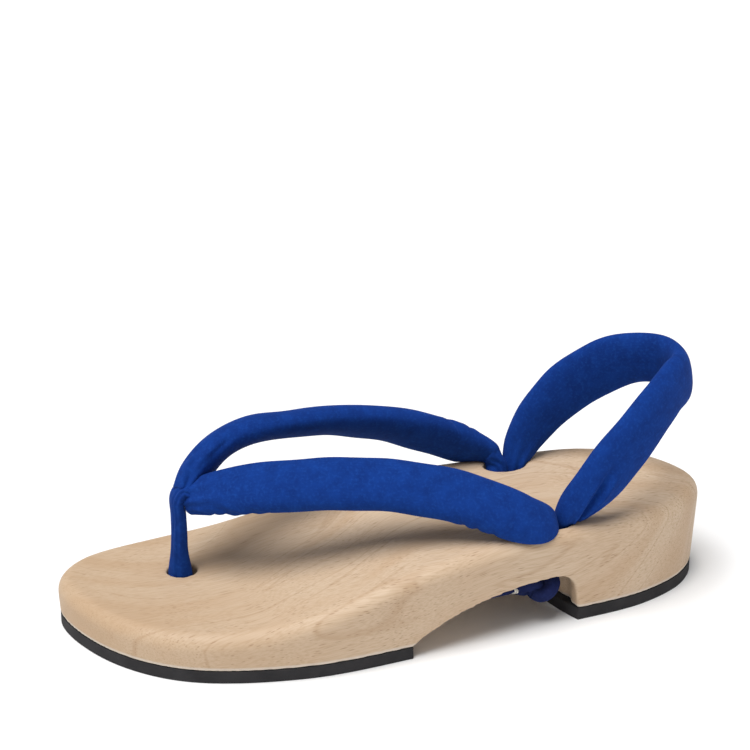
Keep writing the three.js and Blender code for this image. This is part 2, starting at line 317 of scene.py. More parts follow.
# ---- Materials -----------------------------------------------------------------------------

GRAIN_WANDER = 20  # how strongly the grain wanders sideways, which comes to a few mm
GRAIN_WAVE = 70  # over about what length
GRAIN_RISE = 6  # degrees that the grain climbs towards the heel
PITH = (-60, -35, 0)  # the tree's centre, across the sole and up, where it lies lowest
PITH_LOW_AT = 30  # how far back that is
PITH_CURVE = 0.004  # how fast it curves up from there towards both ends, per mm
GROWTH_BAND = 13  # scale of the growth bands across the rings
BAND_RUN = 160  # and along the sole
SEASON_END = 0.47  # level of the bands' noise where one season's growth ends
LINE_LEVELS = 0.016  # how far from that level the growth line fades out
HEM = (1.1, 1.9)  # height over the rubber where the sanded hem starts to fade, and where it ends
WAVES = 3.18  # a wave texture of scale 1 has about this many waves to the unit


def colour(code):
    """An sRGB hex colour as the linear RGBA that the shaders take."""
    channels = [int(code[i : i + 2], 16) / 255 for i in (1, 3, 5)]
    linear = [c / 12.92 if c <= 0.04045 else ((c + 0.055) / 1.055) ** 2.4 for c in channels]
    return (*linear, 1)


def node(tree, kind, inputs, **settings):
    """Adds a node. An input is a value, or the output of another node to link from."""
    made = tree.nodes.new(kind)
    for name, value in settings.items():
        setattr(made, name, value)
    for name, value in inputs.items():
        if isinstance(value, bpy.types.NodeSocket):
            tree.links.new(value, made.inputs[name])
        else:
            made.inputs[name].default_value = value
    return made


def along_grain(across, along):
    """Factors that give a pattern these sizes, in mm, across the grain and along it."""
    return 1 / across, 1 / along, 1 / across


def material(name):
    made = bpy.data.materials.new(name)
    made.use_nodes = True
    made.node_tree.nodes.clear()
    return made, made.node_tree


def rubberwood():
    """Sanded rubberwood with a thin clear oil. Pale straw with warmer growth bands, short dark
    vessel flecks along the grain and a soft satin highlight."""
    made, tree = material("rubberwood_sanded")
    place = node(tree, "ShaderNodeTexCoord", {}).outputs["Object"]
    mm = node(tree, "ShaderNodeVectorMath", {0: place, "Scale": 1 / MM}, operation="SCALE").outputs[0]

    # The grain wanders off the length of the sole.
    wander = node(tree, "ShaderNodeTexNoise", {"Vector": mm, "Scale": 1 / GRAIN_WAVE, "Detail": 1})
    centred = node(
        tree,
        "ShaderNodeVectorMath",
        {0: wander.outputs["Color"], 1: (0.5, 0.5, 0.5)},
        operation="SUBTRACT",
    )
    bent = node(
        tree,
        "ShaderNodeVectorMath",
        {0: centred.outputs[0], 1: [GRAIN_WANDER] * 3, 2: mm},
        operation="MULTIPLY_ADD",
    ).outputs[0]
    # It also rises towards the heel.
    rising = node(
        tree,
        "ShaderNodeVectorRotate",
        {"Vector": bent, "Angle": -math.radians(GRAIN_RISE)},
        rotation_type="X_AXIS",
    ).outputs[0]

    # Uneven growth bands, some 6 to 20 mm wide, round a pith that lies below the arch side of the
    # sole and curves up towards both ends.
    parts = node(tree, "ShaderNodeSeparateXYZ", {0: bent})
    past_low = node(
        tree, "ShaderNodeMath", {0: parts.outputs["Y"], 1: PITH_LOW_AT}, operation="SUBTRACT"
    ).outputs[0]
    bow = node(
        tree, "ShaderNodeMath", {0: past_low, 1: past_low}, operation="MULTIPLY"
    ).outputs[0]
    height = node(
        tree,
        "ShaderNodeMath",
        {0: bow, 1: -PITH_CURVE, 2: parts.outputs["Z"]},
        operation="MULTIPLY_ADD",
    ).outputs[0]
    section = node(
        tree, "ShaderNodeCombineXYZ", {"X": parts.outputs["X"], "Y": height, "Z": 0}
    ).outputs[0]
    from_pith = node(
        tree, "ShaderNodeVectorMath", {0: section, 1: PITH}, operation="DISTANCE"
    ).outputs["Value"]
    ring = node(
        tree, "ShaderNodeMath", {0: from_pith, 1: 1 / GROWTH_BAND}, operation="MULTIPLY"
    ).outputs[0]
    length = node(
        tree, "ShaderNodeMath", {0: parts.outputs["Y"], 1: 1 / BAND_RUN}, operation="MULTIPLY"
    ).outputs[0]
    year = node(tree, "ShaderNodeCombineXYZ", {"X": ring, "Y": length, "Z": 0}).outputs[0]
    season = node(
        tree, "ShaderNodeTexNoise", {"Vector": year, "Scale": 1, "Detail": 2, "Roughness": 0.4}
    ).outputs["Fac"]
    band = node(
        tree,
        "ShaderNodeMapRange",
        {"Value": season, "From Min": SEASON_END, "From Max": 0.66, "To Min": 0, "To Max": 0.36},
        interpolation_type="SMOOTHSTEP",
    ).outputs[0]

    # A thin line where one season's growth ends and the next begins.
    past_season = node(
        tree, "ShaderNodeMath", {0: season, 1: SEASON_END}, operation="SUBTRACT"
    ).outputs[0]
    off_line = node(tree, "ShaderNodeMath", {0: past_season}, operation="ABSOLUTE").outputs[0]
    line = node(
        tree,
        "ShaderNodeMapRange",
        {"Value": off_line, "From Min": 0, "From Max": LINE_LEVELS, "To Min": 1, "To Max": 0},
        interpolation_type="SMOOTHSTEP",
    ).outputs[0]

    # Mottling over about 40 mm along the grain and 12 mm across it.
    cloud_place = node(
        tree, "ShaderNodeVectorMath", {0: rising, 1: along_grain(12, 40)}, operation="MULTIPLY"
    ).outputs[0]
    cloud = node(
        tree, "ShaderNodeTexNoise", {"Vector": cloud_place, "Scale": 1, "Detail": 3}
    ).outputs["Fac"]

    # Fibres 0.5 mm wide, drawn wider than real ones so that they show, and about 18 mm long.
    fibre_place = node(
        tree, "ShaderNodeVectorMath", {0: rising, 1: along_grain(0.5, 18)}, operation="MULTIPLY"
    ).outputs[0]
    fibre = node(
        tree, "ShaderNodeTexNoise", {"Vector": fibre_place, "Scale": 1, "Detail": 2}
    ).outputs["Fac"]

    # Vessels 0.3 mm wide, drawn wider than real ones so that they show, and about 4 mm long, in
    # the cores of some of the cells. They come in drifts, some 25 mm long, and crowd along the
    # growth lines.
    vessel_place = node(
        tree, "ShaderNodeVectorMath", {0: rising, 1: along_grain(0.7, 9)}, operation="MULTIPLY"
    ).outputs[0]
    cell = node(
        tree, "ShaderNodeTexVoronoi", {"Vector": vessel_place, "Scale": 1}, voronoi_dimensions="3D"
    )
    core = node(
        tree,
        "ShaderNodeMapRange",
        {"Value": cell.outputs["Distance"], "From Min": 0.1, "From Max": 0.36, "To Min": 1, "To Max": 0},
        interpolation_type="SMOOTHSTEP",
    ).outputs[0]
    drift_place = node(
        tree, "ShaderNodeVectorMath", {0: rising, 1: along_grain(6, 25)}, operation="MULTIPLY"
    ).outputs[0]
    drift = node(
        tree, "ShaderNodeTexNoise", {"Vector": drift_place, "Scale": 1, "Detail": 1}
    ).outputs["Fac"]
    luck = node(tree, "ShaderNodeSeparateColor", {0: cell.outputs["Color"]}).outputs["Red"]
    lucky = node(
        tree, "ShaderNodeMath", {0: line, 1: 0.5, 2: luck}, operation="MULTIPLY_ADD"
    ).outputs[0]
    crowded = node(
        tree, "ShaderNodeMath", {0: drift, 1: 1.6, 2: lucky}, operation="MULTIPLY_ADD"
    ).outputs[0]
    chosen = node(
        tree, "ShaderNodeMapRange", {"Value": crowded, "From Min": 1.1, "From Max": 1.7}
    ).outputs[0]
    vessel = node(tree, "ShaderNodeMath", {0: core, 1: chosen}, operation="MULTIPLY").outputs[0]

    banded = node(
        tree,
        "ShaderNodeMix",
        {0: band, 6: colour("#cdb69c"), 7: colour("#b3906c")},
        data_type="RGBA",
    ).outputs[2]
    faint = node(tree, "ShaderNodeMath", {0: line, 1: 0.3}, operation="MULTIPLY").outputs[0]
    lined = node(
        tree, "ShaderNodeMix", {0: faint, 6: banded, 7: colour("#9c7650")}, data_type="RGBA"
    ).outputs[2]
    cloudy = node(
        tree,
        "ShaderNodeMapRange",
        {"Value": cloud, "From Min": 0.35, "From Max": 0.7, "To Min": 0, "To Max": 0.3},
    ).outputs[0]
    mottled = node(
        tree, "ShaderNodeMix", {0: cloudy, 6: lined, 7: colour("#bf9f80")}, data_type="RGBA"
    ).outputs[2]
    thread = node(
        tree,
        "ShaderNodeMapRange",
        {"Value": fibre, "From Min": 0.4, "From Max": 0.68, "To Min": 0, "To Max": 0.34},
    ).outputs[0]
    fibrous = node(
        tree, "ShaderNodeMix", {0: thread, 6: mottled, 7: colour("#a5835f")}, data_type="RGBA"
    ).outputs[2]
    depth = node(tree, "ShaderNodeMath", {0: vessel, 1: 0.6}, operation="MULTIPLY").outputs[0]
    flecked = node(
        tree, "ShaderNodeMix", {0: depth, 6: fibrous, 7: colour("#86633f")}, data_type="RGBA"
    ).outputs[2]

    # Painted shade, standing in for a foot's shadow: the plank is drawn darker and browner towards the
    # toes.
    forward = node(
        tree,
        "ShaderNodeMapRange",
        {"Value": parts.outputs["Y"], "From Min": -140, "From Max": -10, "To Min": 0.4, "To Max": 0},
    ).outputs[0]
    painted_toe_shade = node(
        tree, "ShaderNodeMix", {0: forward, 6: flecked, 7: colour("#a98a68")}, data_type="RGBA"
    ).outputs[2]

    # Sanding leaves the sharp edges a little paler.
    point = node(tree, "ShaderNodeNewGeometry", {}).outputs["Pointiness"]
    edge = node(
        tree,
        "ShaderNodeMapRange",
        {"Value": point, "From Min": 0.51, "From Max": 0.58, "To Min": 0, "To Max": 0.4},
    ).outputs[0]
    sanded = node(
        tree, "ShaderNodeMix", {0: edge, 6: painted_toe_shade, 7: colour("#dcc8ae")}, data_type="RGBA"
    ).outputs[2]

    # The edge over the rubber is sanded bare and dusty, up to nearly 2 mm above it.
    up = node(tree, "ShaderNodeSeparateXYZ", {0: mm}).outputs["Z"]
    hem = node(
        tree,
        "ShaderNodeMapRange",
        {
            "Value": up,
            "From Min": TREAD_THICKNESS + HEM[0],
            "From Max": TREAD_THICKNESS + HEM[1],
            "To Min": 0.6,
            "To Max": 0,
        },
    ).outputs[0]
    dusted = node(
        tree, "ShaderNodeMix", {0: hem, 6: sanded, 7: colour("#ddd6cc")}, data_type="RGBA"
    ).outputs[2]

    dent = node(tree, "ShaderNodeMath", {0: fibre, 1: vessel}, operation="SUBTRACT").outputs[0]
    relief = node(tree, "ShaderNodeBump", {"Strength": 0.25, "Distance": 0.1 * MM, "Height": dent})
    dullness = node(
        tree, "ShaderNodeMapRange", {"Value": fibre, "To Min": 0.5, "To Max": 0.66}
    ).outputs[0]
    shader = node(
        tree,
        "ShaderNodeBsdfPrincipled",
        {
            "Base Color": dusted,
            "Roughness": dullness,
            "IOR": 1.5,
            "Specular IOR Level": 0.4,
            "Normal": relief.outputs[0],
        },
    )
    node(tree, "ShaderNodeOutputMaterial", {"Surface": shader.outputs[0]})
    return made


def sponge_rubber():
    """Black sponge rubber, cut from sheet. Matt charcoal with fine pores and a dusty bloom."""
    made, tree = material("sponge_rubber_cut")
    place = node(tree, "ShaderNodeTexCoord", {}).outputs["Object"]
    # Pores 0.6 mm apart, drawn larger than real ones so that they show.
    pore = node(
        tree, "ShaderNodeTexVoronoi", {"Vector": place, "Scale": 1 / (0.6 * MM)}
    ).outputs["Distance"]
    dust = node(
        tree, "ShaderNodeTexNoise", {"Vector": place, "Scale": 1 / (9 * MM), "Detail": 4}
    ).outputs["Fac"]
    dusty = node(
        tree,
        "ShaderNodeMapRange",
        {"Value": dust, "From Min": 0.35, "From Max": 0.75, "To Min": 0, "To Max": 1},
    ).outputs[0]
    shade = node(
        tree,
        "ShaderNodeMix",
        {0: dusty, 6: colour("#272628"), 7: colour("#323133")},
        data_type="RGBA",
    ).outputs[2]
    relief = node(tree, "ShaderNodeBump", {"Strength": 0.35, "Distance": 0.15 * MM, "Height": pore})
    shader = node(
        tree,
        "ShaderNodeBsdfPrincipled",
        {
            "Base Color": shade,
            "Roughness": 0.85,
            "IOR": 1.5,
            "Specular IOR Level": 0.3,
            "Normal": relief.outputs[0],
        },
    )
    node(tree, "ShaderNodeOutputMaterial", {"Surface": shader.outputs[0]})
    return made


def polyester_tricot(name, deep, worn_shade, nap_shade, sheen):
    """Polyester tricot in its deep, its worn and its nap's shade. Matt, with specks where the nap
    catches the light, and a sheen that brightens it where the surface turns away."""
    made, tree = material(name)
    place = node(tree, "ShaderNodeTexCoord", {}).outputs["Object"]
    # Tufts of nap about 1.1 mm across, drawn coarser than real ones so that they show.
    speck = node(
        tree, "ShaderNodeTexNoise", {"Vector": place, "Scale": 1 / (1.1 * MM), "Detail": 2}
    ).outputs["Fac"]
    nap = node(
        tree, "ShaderNodeTexNoise", {"Vector": place, "Scale": 1 / (5 * MM), "Detail": 3}
    ).outputs["Fac"]
    along = node(tree, "ShaderNodeUVMap", {}, uv_map="strap").outputs[0]
    # Wales 0.9 mm apart along the strap, coarser than the real knit so that they show.
    wale = node(
        tree,
        "ShaderNodeTexWave",
        {"Vector": along, "Scale": 1 / 0.9 / WAVES, "Distortion": 1.2, "Detail": 1, "Detail Scale": 2},
        bands_direction="X",
    ).outputs["Fac"]
    worn = node(
        tree,
        "ShaderNodeMapRange",
        {"Value": nap, "From Min": 0.3, "From Max": 0.7, "To Min": 0, "To Max": 1},
    ).outputs[0]
    cloth = node(
        tree,
        "ShaderNodeMix",
        {0: worn, 6: colour(deep), 7: colour(worn_shade)},
        data_type="RGBA",
    ).outputs[2]
    fleck = node(
        tree,
        "ShaderNodeMapRange",
        {"Value": speck, "From Min": 0.5, "From Max": 0.74, "To Min": 0, "To Max": 0.3},
    ).outputs[0]
    flecked = node(
        tree, "ShaderNodeMix", {0: fleck, 6: cloth, 7: colour(nap_shade)}, data_type="RGBA"
    ).outputs[2]
    pile = node(
        tree, "ShaderNodeMath", {0: wale, 1: 0.35, 2: speck}, operation="MULTIPLY_ADD"
    ).outputs[0]
    relief = node(tree, "ShaderNodeBump", {"Strength": 0.4, "Distance": 0.2 * MM, "Height": pile})
    shader = node(
        tree,
        "ShaderNodeBsdfPrincipled",
        {
            "Base Color": flecked,
            "Roughness": 0.95,
            "IOR": 1.5,
            "Specular IOR Level": 0.1,
            "Sheen Weight": sheen,
            "Sheen Roughness": 0.5,
            "Sheen Tint": colour("#5f86e0"),
            "Normal": relief.outputs[0],
        },
    )
    node(tree, "ShaderNodeOutputMaterial", {"Surface": shader.outputs[0]})
    return made


def cotton_thread():
    """Bleached cotton thread, twisted. Soft white with fine dark lines between its plies."""
    made, tree = material("cotton_thread")
    place = node(tree, "ShaderNodeTexCoord", {}).outputs["Object"]
    # Plies about 0.9 mm apart, drawn coarser than real ones so that they show. Diagonal bands
    # stand 1.15 times as far apart as straight ones of the same scale.
    ply = node(
        tree,
        "ShaderNodeTexWave",
        {"Vector": place, "Scale": 1 / (0.8 * MM) / WAVES},
        bands_direction="DIAGONAL",
    ).outputs["Fac"]
    shade = node(
        tree, "ShaderNodeMix", {0: ply, 6: colour("#b9b6ae"), 7: colour("#e9e6de")}, data_type="RGBA"
    ).outputs[2]
    relief = node(tree, "ShaderNodeBump", {"Strength": 0.4, "Distance": 0.1 * MM, "Height": ply})
    shader = node(
        tree,
        "ShaderNodeBsdfPrincipled",
        {"Base Color": shade, "Roughness": 0.9, "IOR": 1.5, "Normal": relief.outputs[0]},
    )
    node(tree, "ShaderNodeOutputMaterial", {"Surface": shader.outputs[0]})
    return made


# ---- The wooden sole -----------------------------------------------------------------------

OUTLINE_STEPS = 180  # points on each side of the plan outline
ROUND_STEPS = 12  # rings in the rounded edge
CURVE_STEPS = 30  # points on each curve of the arch's side view
CUTTER_RINGS = 90  # copies of that side view across the sole
BORE_SIDES = 64  # points round a strap hole
BORE_ENDS = (-1, 60)  # from under the floor to over the wood
WOOD_VOXEL = 0.9  # mesh spacing of the finished wood
EDGE_SOFTENING = 5  # smoothing passes that take the sharpness off the cut edges


def outline_ring():
    """Points round the plan outline and the outward direction at each."""
    heel = HEEL_TIP / len(OUTLINE)
    share = np.arange(OUTLINE_STEPS) / OUTLINE_STEPS
    t = np.concatenate([share * heel, heel + share * (1 - heel)])
    flat = [(x, y, 0) for x, y in OUTLINE]
    at, way = spline(flat, True, t)
    return at[:, :2], np.column_stack([way[:, 1], -way[:, 0]])


def wood_ring(inward, drop):
    """The outline at the flared edge of the bed, moved in and down by so much."""
    at, out = outline_ring()
    flare = WALL_LEAN * (bed_height(at[:, 1]) - TREAD_THICKNESS - TOP_ROUND)
    moved = at + out * (flare - inward)[:, None]
    return np.column_stack([moved, bed_height(moved[:, 1]) - drop])


def arch_cutter(bow):
    """What is cut away under the waist: its side view drawn out across the sole, with the heel
    front bowed towards the toes."""
    below = -10
    fillet_length, fillet_corner, fillet_foot = FILLET

    def bend(a, b, c):
        t = np.linspace(0, 1, CURVE_STEPS)[1:, None]
        a, b, c = (np.array(p, float) for p in (a, b, c))
        return ((1 - t) ** 2 * a + 2 * t * (1 - t) * b + t**2 * c).tolist()

    top_front, top_back = (WAIST_START, ARCH_TOP), (BREAST - fillet_length, ARCH_TOP)
    fillet_end = (BREAST - BREAST_LEAN, TREAD_THICKNESS + fillet_foot)
    side = [(ARCH_FRONT, below), (ARCH_FRONT, TREAD_THICKNESS)]
    side += bend(side[-1], ARCH_BEND, top_front)
    side += [top_back]
    side += bend(top_back, (BREAST - fillet_corner, ARCH_TOP), fillet_end)
    side += [(BREAST, TREAD_THICKNESS), (BREAST, below)]
    y, z = np.array(side, float).T
    near = ease(ARCH_FRONT + 40, BREAST - 10, y)  # the bow grows from nothing to full
    rings = []
    for x in np.linspace(-2 * HALF_WAIST, 2 * HALF_WAIST, CUTTER_RINGS):
        spread = max(0, 1 - (x / HALF_WAIST) ** 2)
        rings.append(np.column_stack([np.full(len(y), x), y - bow * near * spread, z]))
    made = piece_from("arch_cutter", np.vstack(rings), grid_faces(len(rings), len(side)))
    face_outwards(made)
    return made


def face_outwards(piece):
    shape = bmesh.new()
    shape.from_mesh(piece.data)
    bmesh.ops.recalc_face_normals(shape, faces=shape.faces)
    shape.to_mesh(piece.data)
    shape.free()


def oval_prism(x, y, half_x, half_y):
    angle = np.linspace(0, 2 * math.pi, BORE_SIDES, endpoint=False)
    plan = np.column_stack([x + half_x * np.cos(angle), y + half_y * np.sin(angle)])
    rings = [np.column_stack([plan, np.full(len(plan), z)]) for z in BORE_ENDS]
    return piece_from("bore", np.vstack(rings), grid_faces(2, len(plan)))


def wooden_sole():
    at, _ = outline_ring()
    rings = [np.column_stack([at, np.full(len(at), TREAD_THICKNESS)])]
    for angle in np.linspace(0, math.pi / 2, ROUND_STEPS):
        rings.append(
            wood_ring(TOP_ROUND * (1 - math.cos(angle)), TOP_ROUND * (1 - math.sin(angle)))
        )
    sole = piece_from("wooden_sole", np.vstack(rings), strip_faces(len(rings), len(at)))
    cut(sole, arch_cutter(WOOD_BREAST_BOW))
    for hole in HOLES:
        cut(sole, oval_prism(*hole))
    settle(sole, "REMESH", mode="VOXEL", voxel_size=WOOD_VOXEL * MM)
    settle(sole, "SMOOTH", factor=0.5, iterations=EDGE_SOFTENING)
    shade_smooth(sole)
    return sole


# ---- The rubber treads ---------------------------------------------------------------------

TREAD_EDGE = 0.35  # how far the cut edges of the rubber are worn round


def rubber_tread(name, plan):
    """A sheet of rubber of one plan shape under the wood, with its edges slightly worn."""
    count = len(plan)
    rings = [np.column_stack([plan, np.full(count, z)]) for z in (0, TREAD_THICKNESS)]
    tread = piece_from(name, np.vstack(rings), grid_faces(2, count))
    face_outwards(tread)
    settle(
        tread,
        "BEVEL",
        width=TREAD_EDGE * MM,
        segments=3,
        limit_method="ANGLE",
        angle_limit=math.radians(40),
    )
    return tread


def tread_plan(line, side):
    """The part of the plan outline on one side of a line across the sole, closed along it."""
    at, _ = outline_ring()
    past = side * (at[:, 1] - line(at[:, 0]))
    start = int(np.argmax((past > 0) & (np.roll(past, 1) <= 0)))
    at, past = np.roll(at, -start, axis=0), np.roll(past, -start)
    count = int(np.sum(past > 0))

    def crossing(outside, inside):
        share = past[outside] / (past[outside] - past[inside])
        return at[outside] + share * (at[inside] - at[outside])

    first, last = crossing(-1, 0), crossing(count, count - 1)
    x = np.linspace(last[0], first[0], 40)
    return np.vstack([at[:count], np.column_stack([x, line(x)])])


def front_line(x):
    return np.full(np.shape(x), float(ARCH_FRONT))


def breast_line(x):
    return BREAST - TREAD_BREAST_BOW * np.maximum(0, 1 - (np.asarray(x) / HALF_WAIST) ** 2)


# ---- The padded straps ---------------------------------------------------------------------

RING_GAP = 1.1  # mesh spacing along a strap
PATH_STEPS = 3000  # points that its length is measured through
STRAP_SIDES = 64  # points round a strap
FULLNESS = 0.9  # below 1, a section is fuller than an oval
INNER_FLATTENING = 0.18  # how much flatter the side that lies on the foot is
WOOD_GAP = 0.2  # clearance of a strap that lies on the wood
HOLE_DEPTH = 2.5  # how far below the bed a strap is drawn into its hole
HOLE_PULL = 1.6  # from how many hole radii
RIDGE_PLACE = 1.9  # how far the ridges beside a crease lie from its middle, in crease widths
RIDGE_WIDTH = 0.9  # in crease widths
RIDGE_HEIGHT = 0.35  # against the crease's depth
LUMP_WAVES = 9  # waves that add up to the stuffing's lumps
LUMP_LENGTHS = (20, 50)
LUMP_HEIGHT = 0.09  # of one wave


def strap_grid(rows):
    """Rings of points round a strap, evenly spaced along it, and how far along each ring is."""
    rows = np.array(rows, float)
    fine = np.linspace(0, 1, PATH_STEPS)
    path, _ = spline(rows[:, :3], False, fine)
    run = np.concatenate([[0], np.cumsum(np.linalg.norm(np.diff(path, axis=0), axis=1))])
    count = int(run[-1] / RING_GAP)
    along = np.linspace(0, run[-1], count)
    t = np.interp(along, run, fine)
    centre, tangent = spline(rows[:, :3], False, t)
    stations = np.arange(len(rows))
    width, thick, facing, lift = table_at(rows[:, 3:], stations, t * stations[-1]).T
    facing, lift = np.radians(facing), np.radians(lift)
    outward = np.column_stack(
        [np.cos(facing) * np.cos(lift), np.sin(facing) * np.cos(lift), np.sin(lift)]
    )
    outward -= tangent * np.sum(outward * tangent, axis=1)[:, None]
    outward /= np.linalg.norm(outward, axis=1)[:, None]
    across = np.cross(tangent, outward)
    angle = np.linspace(0, 2 * math.pi, STRAP_SIDES, endpoint=False)
    side = np.sign(np.sin(angle)) * np.abs(np.sin(angle)) ** FULLNESS
    face = np.sign(np.cos(angle)) * np.abs(np.cos(angle)) ** FULLNESS
    face = np.where(face < 0, face * (1 - INNER_FLATTENING), face)
    grid = (
        centre[:, None]
        + across[:, None] * (side[None, :] * width[:, None] / 2)[..., None]
        + outward[:, None] * (face[None, :] * thick[:, None] / 2)[..., None]
    )
    return grid, along, angle


def grid_normals(grid):
    lengthwise = np.gradient(grid, axis=0)
    roundwise = np.roll(grid, -1, axis=1) - np.roll(grid, 1, axis=1)
    normal = np.cross(roundwise, lengthwise)
    return normal / np.maximum(np.linalg.norm(normal, axis=2), 1e-9)[..., None]


def crease_depth(along, angle, radius, creases):
    """How far each point of a strap sinks. A crease is: place along the strap in mm, place round
    it in degrees, length, width and depth in mm, and its turn from the strap's own direction in
    degrees. A soft ridge lies on each side of the trough."""
    sink = np.zeros((len(along), len(angle)))
    for place, round_at, length, width, depth, turn in creases:
        u = (along - place)[:, None]
        v = ((angle - math.radians(round_at) + math.pi) % (2 * math.pi) - math.pi)[None, :] * radius
        turned = math.radians(turn)
        lengthwise = u * math.cos(turned) + v * math.sin(turned)
        sideways = v * math.cos(turned) - u * math.sin(turned)
        fade = np.exp(-((2 * lengthwise / length) ** 4))
        trough = np.exp(-((sideways / width) ** 2))
        off_ridge = np.abs(sideways) - RIDGE_PLACE * width
        ridge = np.exp(-((off_ridge / (RIDGE_WIDTH * width)) ** 2))
        sink += depth * fade * (trough - RIDGE_HEIGHT * ridge)
    return sink


def gather_depth(from_end, angle, pleats, depth, reach, phase):
    """The folds of gathered cloth: deepest at a strap's tied end, and fading along it."""
    fade = np.exp(-((from_end / reach) ** 2))[:, None]
    fold = np.cos(pleats * angle + phase) + 0.5 * np.cos((pleats + 3) * angle - 2 * phase)
    uneven = 0.7 + 0.3 * np.cos(2 * angle + phase)
    return depth * fade * (fold * uneven)[None, :]


def unevenness(along, angle, seed):
    """The stuffing's own soft lumps, some 20 to 50 mm long and 0.2 mm high."""
    draw = np.random.default_rng(seed)
    lumps = np.zeros((len(along), len(angle)))
    for _ in range(LUMP_WAVES):
        wavelength = draw.uniform(*LUMP_LENGTHS)
        turns = draw.integers(0, 4)
        phase = draw.uniform(0, 2 * math.pi, 2)
        lumps += np.outer(
            np.cos(2 * math.pi * along / wavelength + phase[0]), np.cos(turns * angle + phase[1])
        )
    return LUMP_HEIGHT * lumps


def off_the_wood(points):
    """Lifts what would sink into the wood onto its surface, and draws what goes down a strap
    hole inside it."""
    ring = wood_ring(0, 0)
    _, out = outline_ring()
    offsets = points[:, None, :2] - ring[None, :, :2]
    nearest = np.argmin(np.sum(offsets**2, axis=2), axis=1)
    rows = np.arange(len(points))
    inside = -np.sum(offsets[rows, nearest] * out[nearest], axis=1)
    dip = TOP_ROUND - np.sqrt(np.maximum(0, TOP_ROUND**2 - np.clip(TOP_ROUND - inside, 0, None) ** 2))
    surface = bed_height(points[:, 1]) - dip + WOOD_GAP
    sunk = (inside > 0) & (points[:, 2] < surface)
    for x, y, half_x, half_y in HOLES:
        place = (points[:, :2] - (x, y)) / (half_x - WOOD_GAP, half_y - WOOD_GAP)
        off_centre = np.linalg.norm(place, axis=1)
        sunk &= off_centre > 1
        deep = (inside > 0) & (points[:, 2] < surface - HOLE_DEPTH)
        near = deep & (off_centre > 1) & (off_centre < HOLE_PULL)
        beyond = place * (1 - 1 / np.maximum(off_centre, 1e-9))[:, None]
        pulled = points[:, :2] - beyond * (half_x - WOOD_GAP, half_y - WOOD_GAP)
        points[near, :2] = pulled[near]
        sunk &= ~near
    points[sunk, 2] = surface[sunk]
    return points


def strap_piece(name, grid, along, radius):
    """A closed padded piece from its rings, with a map of mm along and round it."""
    rings, sides = grid.shape[:2]
    piece = piece_from(name, grid.reshape(-1, 3), grid_faces(rings, sides))
    chart = piece.data.uv_layers.new(name="strap")
    for face in piece.data.polygons[: (rings - 1) * sides]:
        r, i = divmod(face.index, sides)
        corners = [(r, i), (r, i + 1), (r + 1, i + 1), (r + 1, i)]
        for loop, (ring, place) in zip(face.loop_indices, corners):
            chart.data[loop].uv = (2 * math.pi * radius * place / sides, along[ring])
    shade_smooth(piece)
    return piece


def padded_strap(name, rows, creases, gathers, seed):
    """A stuffed tube of cloth with its creases and gathered ends. Gathers are, for the start and
    then the end: number of pleats, depth and reach in mm, and phase."""
    rows = np.array(rows, float)
    grid, along, angle = strap_grid(rows)
    radius = float(np.mean(rows[:, 3:5])) / 2
    sink = crease_depth(along, angle, radius, creases) + unevenness(along, angle, seed)
    for from_end, gather in zip((along, along[-1] - along), gathers):
        sink += gather_depth(from_end, angle, *gather)
    grid = grid - grid_normals(grid) * sink[..., None]
    grid = off_the_wood(grid.reshape(-1, 3)).reshape(grid.shape)
    piece = strap_piece(name, grid, along, radius)
    settle(piece, "SUBSURF", levels=1, render_levels=1)
    shade_smooth(piece)
    return piece


# Creases: mm along, degrees round (0 outer face, 90 and 270 the edges), length, width, depth
# and turn.
OUTER_CREASES = [
    (9, 80, 12, 1.1, 1.1, 25),
    (14, 105, 14, 1.1, 1.0, -25),
    (19, 70, 12, 1.2, 0.6, 35),
    (25, 112, 12, 1.3, 0.8, -30),
    (31, 85, 9, 1.1, 0.5, 30),
    (112, 80, 12, 1.2, 0.6, 50),
    (119, 95, 10, 1.1, 0.7, 60),
    (126, 85, 9, 1.1, 0.6, 70),
    (131, 20, 12, 1.6, 0.35, 80),
]
INNER_CREASES = [
    (9, 90, 12, 1.2, 0.8, -15),
    (15, 60, 12, 1.3, 0.5, 25),
    (21, 110, 14, 1.4, 0.6, -20),
    (124, 80, 12, 1.3, 0.6, 50),
    (132, 40, 12, 1.5, 0.4, 70),
]
POST_CREASES = [
    (10, 60, 40, 0.7, 0.7, 0),
    (12, 100, 30, 0.7, 0.6, 4),
    (14, 330, 40, 0.7, 0.5, 0),
    (30, 20, 30, 0.8, 0.4, 0),
]
LOOP_CREASES = [
    (31, 13, 30, 0.85, 3.0, -9),
    (27, 40, 18, 1.0, 1.0, -6),
    (40, 352, 18, 1.6, 0.5, -10),
    (160, 320, 20, 1.2, 1.2, -6),
    (98, 180, 14, 2.2, 0.7, 90),
    (88, 180, 12, 2.0, 0.6, 80),
]


# ---- The knots under the waist -------------------------------------------------------------

KNOT_CORD = 3.5  # radius of the strap's end where it is tied
KNOT_STEPS = 150  # rings along the tied cord
KNOT_SIDES = 28  # points round it and round the tail
KNOT_START = 0.35  # where on the knot's loop the cord begins and ends, in radians
KNOT_HALF_LENGTH = 10.5  # along the sole, without the tail
KNOT_FOLDS = 5  # folds along the tied cord
FOLD_DEPTH = 0.3
TAIL_START = (0, -0.55 * KNOT_HALF_LENGTH, -0.5)  # from the knot's middle
TAIL_LENGTH = 16.4
TAIL_STEPS = 40  # rings along it
TAIL_DRIFT = 1.5  # how far its end lies to the side
TAIL_BEND = 0.6  # strength of its bend, which lifts its middle 0.3 mm and drops its tip 0.2 mm
TAIL_NECK = 0.65  # its girth where it leaves the knot, against its full girth
TIP_LOSS = 0.2  # how much of that it loses again at its tip
TAIL_FLATNESS = 0.5  # its thickness against its width
THREAD = 0.45  # radius of the thread that whips the tail
